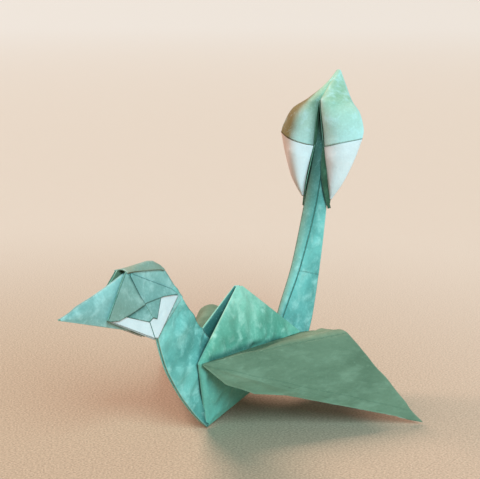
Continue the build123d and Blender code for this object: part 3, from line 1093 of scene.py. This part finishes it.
@dataclass(frozen=True)
class Graph:
    """Adds nodes to one tree and joins their sockets."""

    tree: Tree

    def node(self, kind: str, inputs: dict | None = None, **settings) -> bpy.types.Node:
        """A new node.

        Args:
            kind: The node's type.
            inputs: Values or sockets to join, by the input's name or index.
            settings: Values of the node's own properties.

        Returns:
            The node.
        """
        made = self.tree.nodes.new(kind)
        for label, value in settings.items():
            setattr(made, label, value)
        for label, value in (inputs or {}).items():
            if isinstance(value, Socket):
                self.tree.links.new(value, made.inputs[label])
            else:
                made.inputs[label].default_value = value
        return made

    def maths(self, operation: str, first: object, second: object = 0.0) -> Socket:
        """The result of one sum."""
        return self.node("ShaderNodeMath", {0: first, 1: second}, operation=operation).outputs[0]

    def times(self, first: object, second: object) -> Socket:
        """The product of two values."""
        return self.maths("MULTIPLY", first, second)

    def centred(self, value: object) -> Socket:
        """A value less one half."""
        return self.maths("SUBTRACT", value, 0.5)

    def vectors(self, operation: str, first: object, second: object) -> Socket:
        """The result of one sum on vectors."""
        return self.node("ShaderNodeVectorMath", {0: first, 1: second}, operation=operation).outputs[0]

    def eased(self, value: object, start: float, end: float, low: float = 0.0, high: float = 1.0) -> Socket:
        """The value taken smoothly from (start, end) to (low, high)."""
        inputs = {"Value": value, "From Min": start, "From Max": end, "To Min": low, "To Max": high}
        return self.node("ShaderNodeMapRange", inputs, interpolation_type="SMOOTHSTEP").outputs["Result"]

    def mixed(self, share: object, first: object, second: object) -> Socket:
        """A colour between two colours."""
        return self.node("ShaderNodeMix", {0: share, 6: first, 7: second}, data_type="RGBA").outputs[2]

    def speckled(self, colour: object, specks: Socket, grain: object) -> Socket:
        """A colour made darker and lighter by specks: colour times 1 + (specks - 1/2) grain."""
        factor = self.maths("ADD", self.times(self.centred(specks), grain), 1.0)
        return self.node("ShaderNodeVectorMath", {0: colour, "Scale": factor}, operation="SCALE").outputs[0]

    def noise(self, place: object, seed: object, scale: float, detail: float, twist: float = 0.0) -> Socket:
        """Noise between 0 and 1.

        Args:
            place: Where it is read.
            seed: Which of the many like patterns it is.
            scale: Features to the metre.
            detail: Finer layers.
            twist: How far it is warped.

        Returns:
            The noise.
        """
        inputs = {"Vector": place, "W": seed, "Scale": scale, "Detail": detail, "Distortion": twist,
                  "Roughness": NOISE_ROUGHNESS}
        return self.node("ShaderNodeTexNoise", inputs, noise_dimensions="4D").outputs[0]

    def bumped(self, height: Socket, bump: dict[str, float]) -> Socket:
        """A normal turned by a height, by that strength and distance."""
        return self.node("ShaderNodeBump", {"Height": height, **bump}).outputs[0]

    def place(self) -> Socket:
        """The place on the object, in metres."""
        return self.node("ShaderNodeTexCoord").outputs["Object"]

    def map(self, label: str) -> Socket:
        """One of the shells' maps."""
        return self.node("ShaderNodeAttribute", attribute_name=label).outputs["Fac"]

    def group(self, effect: Tree, inputs: dict) -> bpy.types.bpy_prop_collection:
        """The outputs of one of the shared effects."""
        return self.node("ShaderNodeGroup", inputs, node_tree=effect).outputs

    def surface(self, colour: Socket, normal: Socket, roughness: float, specular: float) -> None:
        """Joins colour and normal to the material's Principled BSDF, and sets its constants.

        Args:
            colour: Joined to Base Color.
            normal: Joined to Normal.
            roughness: Set on Roughness.
            specular: Set on Specular IOR Level.
        """
        shader = self.tree.nodes["Principled BSDF"]
        self.tree.links.new(colour, shader.inputs["Base Color"])
        self.tree.links.new(normal, shader.inputs["Normal"])
        shader.inputs["Roughness"].default_value = roughness
        shader.inputs["Specular IOR Level"].default_value = specular


FLOAT, VECTOR, COLOUR = "NodeSocketFloat", "NodeSocketVector", "NodeSocketColor"


def new_material(name: str) -> tuple[Material, Graph]:
    """A new material.

    Args:
        name: Its name.

    Returns:
        The material, and the graph that adds to its nodes.
    """
    made = bpy.data.materials.new(name)
    made.use_nodes = True
    return made, Graph(made.node_tree)


def effect(name: str, inputs: dict[str, str], outputs: dict[str, str]) -> tuple[Graph, dict[str, Socket]]:
    """A new node group.

    Args:
        name: Its name.
        inputs: Kind of socket for each input.
        outputs: Kind of socket for each output.

    Returns:
        The group's graph, and its inner sockets by name.
    """
    tree = bpy.data.node_groups.new(name, "ShaderNodeTree")
    for way, sockets in (("INPUT", inputs), ("OUTPUT", outputs)):
        for label, kind in sockets.items():
            tree.interface.new_socket(label, in_out=way, socket_type=kind)
    graph = Graph(tree)
    given = graph.node("NodeGroupInput")
    return graph, {label: given.outputs[label] for label in inputs}


def join(graph: Graph, results: dict[str, Socket]) -> Tree:
    """Joins the results to the group's outputs and gives back the group."""
    graph.node("NodeGroupOutput", results)
    return graph.tree


@dataclass(frozen=True)
class Cloud:
    """A cloudy mask: noise with that many features to the metre, eased between two of its values."""

    scale: float
    detail: float
    twist: float
    start: float
    end: float

    def mask(self, graph: Graph, place: Socket, seed: object) -> Socket:
        """The mask, from 0 to 1."""
        noise = graph.noise(place, seed, self.scale, self.detail, self.twist)
        return graph.eased(noise, self.start, self.end)


@dataclass(frozen=True)
class Fibres:
    """Thin broken threads: the places where a stretched noise is close to one half.

    Attributes:
        turns: Angle of each layer of threads.
        scales: Threads to the metre in each.
        stretch: How dense they lie along each axis.
        detail: Finer layers of the noise.
        twist: How far it is warped.
        width: How close to one half it is on a thread.
        gaps: Mask of where they show.
    """

    turns: Place = (0.6, 2.1, 4.0)
    scales: Place = (300.0, 410.0, 250.0)
    stretch: Place = (1.0, 0.3, 0.45)
    detail: float = 1.0
    twist: float = 0.8
    width: float = 0.01
    gaps: Cloud = Cloud(330.0, 1.0, 0.0, 0.52, 0.6)

    def mask(self, graph: Graph, place: Socket, seed: Socket) -> Socket:
        """The threads' mask.

        Args:
            graph: Graph that the nodes are added to.
            place: Where the mask is read.
            seed: Seed of its noise.

        Returns:
            1 on a thread and 0 beside it.
        """
        threads = 0.0
        for turn, scale in zip(self.turns, self.scales):
            spin = {"Vector": place, "Angle": turn}
            turned = graph.node("ShaderNodeVectorRotate", spin, rotation_type="AXIS_ANGLE").outputs[0]
            stretched = graph.vectors("MULTIPLY", turned, self.stretch)
            noise = graph.noise(stretched, seed, scale, self.detail, self.twist)
            thread = graph.eased(graph.maths("ABSOLUTE", graph.centred(noise)), 0.0, self.width, 1.0, 0.0)
            shown = graph.times(thread, self.gaps.mask(graph, place, turn))
            threads = graph.maths("MAXIMUM", threads, shown)
        return threads


@dataclass(frozen=True)
class LineMask:
    """A mask along lines, made uneven by specks.

    Attributes:
        source: The map that holds the distance from the lines.
        uneven: How far the specks shift it, in millimetres.
        full: Distance up to which the mask is full.
        end: Distance from which there is none.
    """

    source: str
    uneven: float
    full: float
    end: float


POOLS = Cloud(62.0, 4.0, 0.7, 0.36, 0.66)
BLOTCHES = Cloud(260.0, 6.0, 0.4, 0.46, 0.7)
SPECKS = {"scale": 1500.0, "detail": 3.0}
FIBRES = Fibres()
LINES = {
    "Dark": LineMask("ink", 0.45, 0.02, 0.34),
    "Faint": LineMask("score", 0.72, 0.03, 0.36),
    "Worn": LineMask("wear", 0.9, 0.05, 0.45),
}
RELIEF = {"Specks": 0.5, "Blotches": 0.5, "Threads": 0.18, "Dark": -0.6, "Faint": -0.6}
PAPER_BUMP = {"Strength": 0.55, "Distance": 0.00022}
BOARD_BUMP = {"Strength": 0.5, "Distance": 0.0004}
SHADES = ("deep", "mid", "pale", "second", "ink")


def mottle_effect() -> Tree:
    """Uneven dye: pools of 15 mm, blotches of 4 mm, specks under 1 mm, and fibres.

    Returns:
        The group, with a mask for each of them.
    """
    outputs = dict.fromkeys(("Pools", "Blotches", "Specks", "Threads"), FLOAT)
    graph, given = effect("mottle", {"Place": VECTOR, "Seed": FLOAT}, outputs)
    spread = (given["Place"], given["Seed"])
    masks = {"Pools": POOLS, "Blotches": BLOTCHES, "Threads": FIBRES}
    results = {label: source.mask(graph, *spread) for label, source in masks.items()}
    return join(graph, {**results, "Specks": graph.noise(*spread, **SPECKS)})


def line_effect() -> Tree:
    """Masks of painted shade along creases and borders, and of rubbed and lit edges, from the maps'
    distances.

    Returns:
        The group, with a mask for each of LINES.
    """
    graph, given = effect("lines", {"Specks": FLOAT}, dict.fromkeys(LINES, FLOAT))
    shift = graph.centred(given["Specks"])
    results = {}
    for label, line in LINES.items():
        distance = graph.maths("ADD", graph.map(line.source), graph.times(shift, line.uneven))
        results[label] = graph.eased(distance, line.full, line.end, 1.0, 0.0)
    return join(graph, results)


def relief_effect() -> Tree:
    """A bumped normal of felted paper: soft cockles, fibres that stand up and creases that sink.

    Returns:
        The group, whose height is the sum of its masks times their weights in RELIEF.
    """
    graph, given = effect("relief", dict.fromkeys(RELIEF, FLOAT), {"Normal": VECTOR})
    height = 0.0
    for label, weight in RELIEF.items():
        height = graph.maths("ADD", height, graph.times(given[label], weight))
    return join(graph, {"Normal": graph.bumped(height, PAPER_BUMP)})


@dataclass(frozen=True)
class Dye:
    """How the shared effects colour the paper, each number the most that an effect mixes in.

    Attributes:
        fade: Paler colour where a shell's fade is full.
        thinned: Second dye that is left where the first has not pooled.
        pool: Dark colour mixed in where a shell's painted shade is full.
        thread: Pale dye on fibres.
        fleck: Pale dye on the brightest specks.
        fleck_range: Brightness at which flecks start and are full.
        faint: Painted shade in faint creases.
        dark: Painted shade in the dark lines along shaded borders.
    """

    fade: float = 0.7
    thinned: float = 0.75
    pool: float = 0.8
    thread: float = 0.16
    fleck: float = 0.3
    fleck_range: Pair = (0.6, 0.72)
    faint: float = 0.3
    dark: float = 0.6

    def effect(self) -> Tree:
        """Colour and normal of the paper: two colours under the mottle, fibres, folds, painted shade and
        highlight.

        Returns:
            The group that every coat uses, with the other three inside.
        """
        colours = dict.fromkeys((shade.capitalize() for shade in SHADES), COLOUR)
        amounts = dict.fromkeys(("Cloudiness", "Grain", "Wear"), FLOAT)
        inputs = {"Place": VECTOR, "Seed": FLOAT, **colours, **amounts}
        graph, given = effect("dye", inputs, {"Colour": COLOUR, "Normal": VECTOR})
        mottle = graph.group(mottle_effect(), {label: given[label] for label in ("Place", "Seed")})
        lines = graph.group(line_effect(), {"Specks": mottle["Specks"]})
        thinning = graph.eased(mottle["Pools"], 0.0, 1.0, 1.0, self.thinned)
        flecks = graph.eased(mottle["Specks"], *self.fleck_range, 0.0, self.fleck)
        under = (
            (graph.times(mottle["Blotches"], given["Cloudiness"]), "Pale"),
            (graph.times(graph.map("fade"), self.fade), "Pale"),
            # second colour: a second dye, and painted shade on the tail's strip and the far hood
            (graph.times(graph.map("second"), thinning), "Second"),
            # painted shade: in recesses, beside edges, along the slot and under the hood
            (graph.times(graph.map("pool"), self.pool), "Ink"),
        )
        over = (
            (graph.maths("MAXIMUM", graph.times(mottle["Threads"], self.thread), flecks), "Pale"),
            # paler along rubbed and lit edges: rubbed-off dye, and a painted highlight
            (graph.times(lines["Worn"], given["Wear"]), "Pale"),
            # painted shade along faint creases and in dark lines along shaded borders
            (graph.times(lines["Faint"], self.faint), "Ink"),
            (graph.times(lines["Dark"], self.dark), "Ink"),
        )
        colour = graph.mixed(mottle["Pools"], given["Deep"], given["Mid"])
        for share, shade in under:
            colour = graph.mixed(share, colour, given[shade])
        colour = graph.speckled(colour, mottle["Specks"], given["Grain"])
        for share, shade in over:
            colour = graph.mixed(share, colour, given[shade])
        masks = {label: (mottle if label in mottle else lines)[label] for label in RELIEF}
        return join(graph, {"Colour": colour, "Normal": graph.group(relief_effect(), masks)["Normal"]})


@dataclass(frozen=True)
class Finish:
    """Colours and grain of one coat, each colour as it looks on a screen, from 0 to 255.

    Attributes:
        deep: Where the dye has pooled.
        mid: The usual colour.
        pale: Where the dye has run thin, where a shell fades, along fibres, and on rubbed and lit edges.
        second: The colour that takes over on one side of a piece; on AQUA, TURQUOISE and WHITE it is
            painted shade.
        ink: Colour of the painted shade, in creases, along shaded borders and wherever shade is painted.
        cloudiness: Strength of the pale blotches.
        grain: Strength of the specks.
        wear: Strength of the rubbed and lit edges: rubbed-off dye, and a painted highlight.
        spread: Stretch of the mottle along X, Y and Z; below 1 is longer.
        roughness: Of the surface.
        specular: Strength of its reflections.
    """

    deep: Colour
    mid: Colour
    pale: Colour
    second: Colour = (138, 132, 104)
    ink: Colour = (34, 76, 70)
    cloudiness: float = 0.6
    grain: float = 0.35
    wear: float = 0.55
    spread: Place = (1.0, 1.0, 1.0)
    roughness: float = 0.88
    specular: float = 0.22

    def material(self, name: str, seed: float, dye: Tree) -> Material:
        """The coat's material.

        Args:
            name: Its name.
            seed: Seed of its mottle.
            dye: The shared dye effect.

        Returns:
            A rough paper whose colour and normal come from the dye effect.
        """
        made, graph = new_material(name)
        place = graph.vectors("MULTIPLY", graph.place(), self.spread)
        shades = {shade.capitalize(): linear(getattr(self, shade)) for shade in SHADES}
        amounts = {"Cloudiness": self.cloudiness, "Grain": self.grain, "Wear": self.wear}
        paper = graph.group(dye, {"Place": place, "Seed": seed, **shades, **amounts})
        graph.surface(paper["Colour"], paper["Normal"], self.roughness, self.specular)
        return made


FINISHES = {
    Coat.TEAL: Finish((97, 163, 156), (127, 195, 187), (168, 224, 218), cloudiness=0.75),
    Coat.GREEN: Finish((104, 167, 146), (139, 200, 178), (181, 222, 204), (118, 188, 174),
                       cloudiness=0.75, wear=0.35),
    # TURQUOISE's second colour is painted shade across the tail's strip
    Coat.TURQUOISE: Finish((102, 168, 163), (130, 202, 197), (168, 222, 217), (128, 150, 128),
                           cloudiness=0.7),
    # AQUA's second colour is painted shade, olive-brown on the far lobe
    Coat.AQUA: Finish((142, 178, 150), (168, 196, 170), (202, 234, 238), (126, 112, 72), ink=(32, 66, 46)),
    # SAGE, the wings' coat, is a darker, greyer green than the body's, partly painted shade
    Coat.SAGE: Finish((96, 116, 94), (112, 132, 109), (136, 156, 133), ink=(84, 112, 90), cloudiness=0.5,
                      grain=0.3, spread=(0.5, 0.5, 1.4)),
    Coat.MIST: Finish((122, 166, 162), (152, 196, 192), (180, 216, 214), (142, 154, 136), ink=(30, 78, 74),
                      cloudiness=0.75),
    # painted shade: the dark green of the recesses in the hood's slot
    Coat.DEEP: Finish((46, 72, 54), (60, 94, 74), (84, 122, 100)),
    # WHITE's second colour is painted warm shade on the far petal
    Coat.WHITE: Finish((226, 231, 237), (240, 243, 248), (246, 248, 251), (214, 196, 184),
                       ink=(84, 108, 104), cloudiness=0.4, grain=0.08, wear=0.0),
    Coat.CUT: Finish((110, 160, 144), (140, 190, 172), (180, 214, 200)),
}
SEED_STEP = 3.7         # between the mottles of two coats


def coat_materials() -> dict[Coat, Material]:
    """All coats, built on one set of shared effects.

    Returns:
        The material of each coat.
    """
    dye = Dye().effect()
    return {coat: finish.material(f"{coat.name.lower()}_paper", SEED_STEP * coat, dye)
            for coat, finish in FINISHES.items()}


@dataclass(frozen=True)
class Board:
    """Sandy board with painted shade: a browner round near the crane that turns paler with the distance.

    Colours are as they look on a screen, from 0 to 255, and distances are in metres.

    Attributes:
        near: Colour of the round of painted shade.
        half: Colour past it.
        far: Colour towards the horizon.
        behind: How far behind the foot the middle of the round lies.
        out: How far out on the near side it does.
        round_edge: Distances between which near turns into half.
        far_edge: Distances between which half turns into far.
        grain_edge: Distances between which the grain fades.
        grain: Its strength inside and outside these.
        specks: Specks to the metre, and finer layers of their noise.
        seed: Seed of that noise.
        roughness: Of the board.
        specular: Strength of its reflections.
    """

    near: Colour = (178, 156, 134)
    half: Colour = (200, 187, 174)
    far: Colour = (206, 200, 194)
    behind: float = -0.07
    out: float = -0.03
    round_edge: Pair = (0.05, 0.34)
    far_edge: Pair = (0.2, 3.5)
    grain_edge: Pair = (0.08, 0.34)
    grain: Pair = (1.5, 0.03)
    specks: Pair = (1700.0, 2.0)
    seed: float = 0.5
    roughness: float = 0.9
    specular: float = 0.2

    def material(self, foot: Array) -> Material:
        """The board's material.

        Args:
            foot: The foot's place in metres.

        Returns:
            The material.
        """
        made, graph = new_material("floor")
        place = graph.place()
        middle = (float(foot[0]) + self.behind, float(foot[1]) - self.out, 0.0)
        offset = graph.vectors("SUBTRACT", place, middle)
        away = graph.node("ShaderNodeVectorMath", {0: offset}, operation="LENGTH").outputs["Value"]
        # painted shade: browner near the crane, paler with the distance
        colour = graph.mixed(graph.eased(away, *self.round_edge), linear(self.near), linear(self.half))
        colour = graph.mixed(graph.eased(away, *self.far_edge), colour, linear(self.far))
        specks = graph.noise(place, self.seed, *self.specks)
        colour = graph.speckled(colour, specks, graph.eased(away, *self.grain_edge, *self.grain))
        graph.surface(colour, graph.bumped(specks, BOARD_BUMP), self.roughness, self.specular)
        return made


@dataclass(frozen=True)
class Sun:
    """A soft far lamp.

    Attributes:
        place: Direction that it shines from.
        tint: Its colour.
        power: Share of a white surface's full brightness that it gives face on.
        softness: How wide it looks, in degrees.
    """

    place: Place
    tint: Colour
    power: float
    softness: float

    def hang(self, name: str) -> None:
        """Adds the lamp to the scene.

        Args:
            name: Its name.
        """
        data = bpy.data.lights.new(name, "SUN")
        data.energy, data.color, data.angle = self.power * np.pi, self.tint, np.radians(self.softness)
        made = bpy.data.objects.new(name, data)
        made.rotation_mode = "QUATERNION"
        made.rotation_quaternion = (-Vector(self.place)).to_track_quat("-Z", "Y")
        bpy.context.scene.collection.objects.link(made)


@dataclass(frozen=True)
class Studio:
    """Camera, lamps and floor, placed from the foot of the keel.

    Attributes:
        turn: Angle from the Y axis to the direction in which the camera looks.
        rise: How far it looks down.
        depth: Distance to the foot along that direction, in millimetres.
        focal_px: Focal length, in pixels of the image.
        image_px: Width and height of the image.
        foot_px: Pixel on which the foot lies.
        sensor_mm: Width of the sensor.
        sky_tint: Colour of the sky's light.
        sky_power: Its strength.
        far_tint: Colour of the sky as the camera sees it, from 0 to 255.
        key: The lamp in front.
        back: The lamp behind.
        clip: Nearest and farthest distance that the camera sees.
        floor_reach: Half the width of the floor.
    """

    turn: float = 54.0
    rise: float = 12.0
    depth: float = 336.0
    focal_px: float = 1200.0
    image_px: Pair = (480.0, 479.0)
    foot_px: Pair = (206.5, 427.4)
    sensor_mm: float = 36.0
    sky_tint: Colour = (1.0, 0.86, 0.76)
    sky_power: float = 0.26
    far_tint: Colour = (236, 228, 218)
    key: Sun = Sun((-0.45, -0.68, 0.58), (0.54, 0.93, 1.0), 1.0, 30.0)
    back: Sun = Sun((0.06, 0.68, 0.72), (1.14, 0.84, 0.75), 1.0, 28.0)
    clip: Pair = (0.01, 20.0)           # in metres
    floor_reach: float = 14.0           # in metres

    def axes(self) -> tuple[Array, Array, Array]:
        """The camera's directions.

        Returns:
            Its right, its up and the way it looks.
        """
        a, e = np.radians(self.turn), np.radians(self.rise)
        look = np.array([np.sin(a) * np.cos(e), np.cos(a) * np.cos(e), -np.sin(e)])
        right = np.array([np.cos(a), -np.sin(a), 0.0])
        return right, np.cross(right, look), look

    def camera(self, foot: Array) -> bpy.types.Object:
        """A camera that puts the foot on its pixel of the image.

        Args:
            foot: The foot's place in metres.

        Returns:
            The camera, made the scene's own.
        """
        right, up, look = self.axes()
        x = (self.foot_px[0] - self.image_px[0] / 2) / self.focal_px
        y = (self.image_px[1] / 2 - self.foot_px[1]) / self.focal_px
        data = bpy.data.cameras.new("camera")
        data.sensor_width = self.sensor_mm
        data.lens = self.focal_px / self.image_px[0] * self.sensor_mm
        data.clip_start, data.clip_end = self.clip
        made = bpy.data.objects.new("camera", data)
        bpy.context.scene.collection.objects.link(made)
        place = foot - self.depth * MM * (look + x * right + y * up)
        turned = Matrix((right, up, -look)).transposed().to_4x4()
        turned.translation = Vector(place)
        made.matrix_world = turned
        bpy.context.scene.camera = made
        return made

    def floor(self, foot: Array) -> None:
        """A plain flat floor that reaches far past the view.

        Args:
            foot: The foot's place in metres.
        """
        reach = self.floor_reach
        corners = [(-reach, -reach, 0.0), (reach, -reach, 0.0), (reach, reach, 0.0), (-reach, reach, 0.0)]
        mesh = bpy.data.meshes.new("floor")
        mesh.from_pydata(corners, [], [(0, 1, 2, 3)])
        made = bpy.data.objects.new("floor", mesh)
        bpy.context.scene.collection.objects.link(made)
        mesh.materials.append(Board().material(foot))

    def light(self) -> None:
        """A warm sky that looks pale to the camera, a cool lamp in front and a warm one behind."""
        world = bpy.data.worlds.new("world")
        bpy.context.scene.world = world
        world.use_nodes = True
        graph = Graph(world.node_tree)
        seen = graph.node("ShaderNodeLightPath").outputs["Is Camera Ray"]
        lit = tuple(share * self.sky_power for share in self.sky_tint)
        colour = graph.mixed(seen, (*lit, 1.0), linear(self.far_tint))
        world.node_tree.links.new(colour, world.node_tree.nodes["Background"].inputs["Color"])
        self.key.hang("key")
        self.back.hang("back")


def main() -> None:
    """Builds the crane part by part, then its studio."""
    logging.basicConfig(level=logging.INFO, format="%(name)s %(message)s")
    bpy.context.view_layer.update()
    foot = Stand().foot()
    coats = coat_materials()
    for part in (Body(), Wings(), Neck(), Head(), Tail(), Hood()):
        part.piece(foot, coats)
    studio = Studio()
    studio.floor(foot)
    studio.light()
    studio.camera(foot)
    bpy.context.scene.view_settings.view_transform = "Standard"


if __name__ == "__main__":
    main()
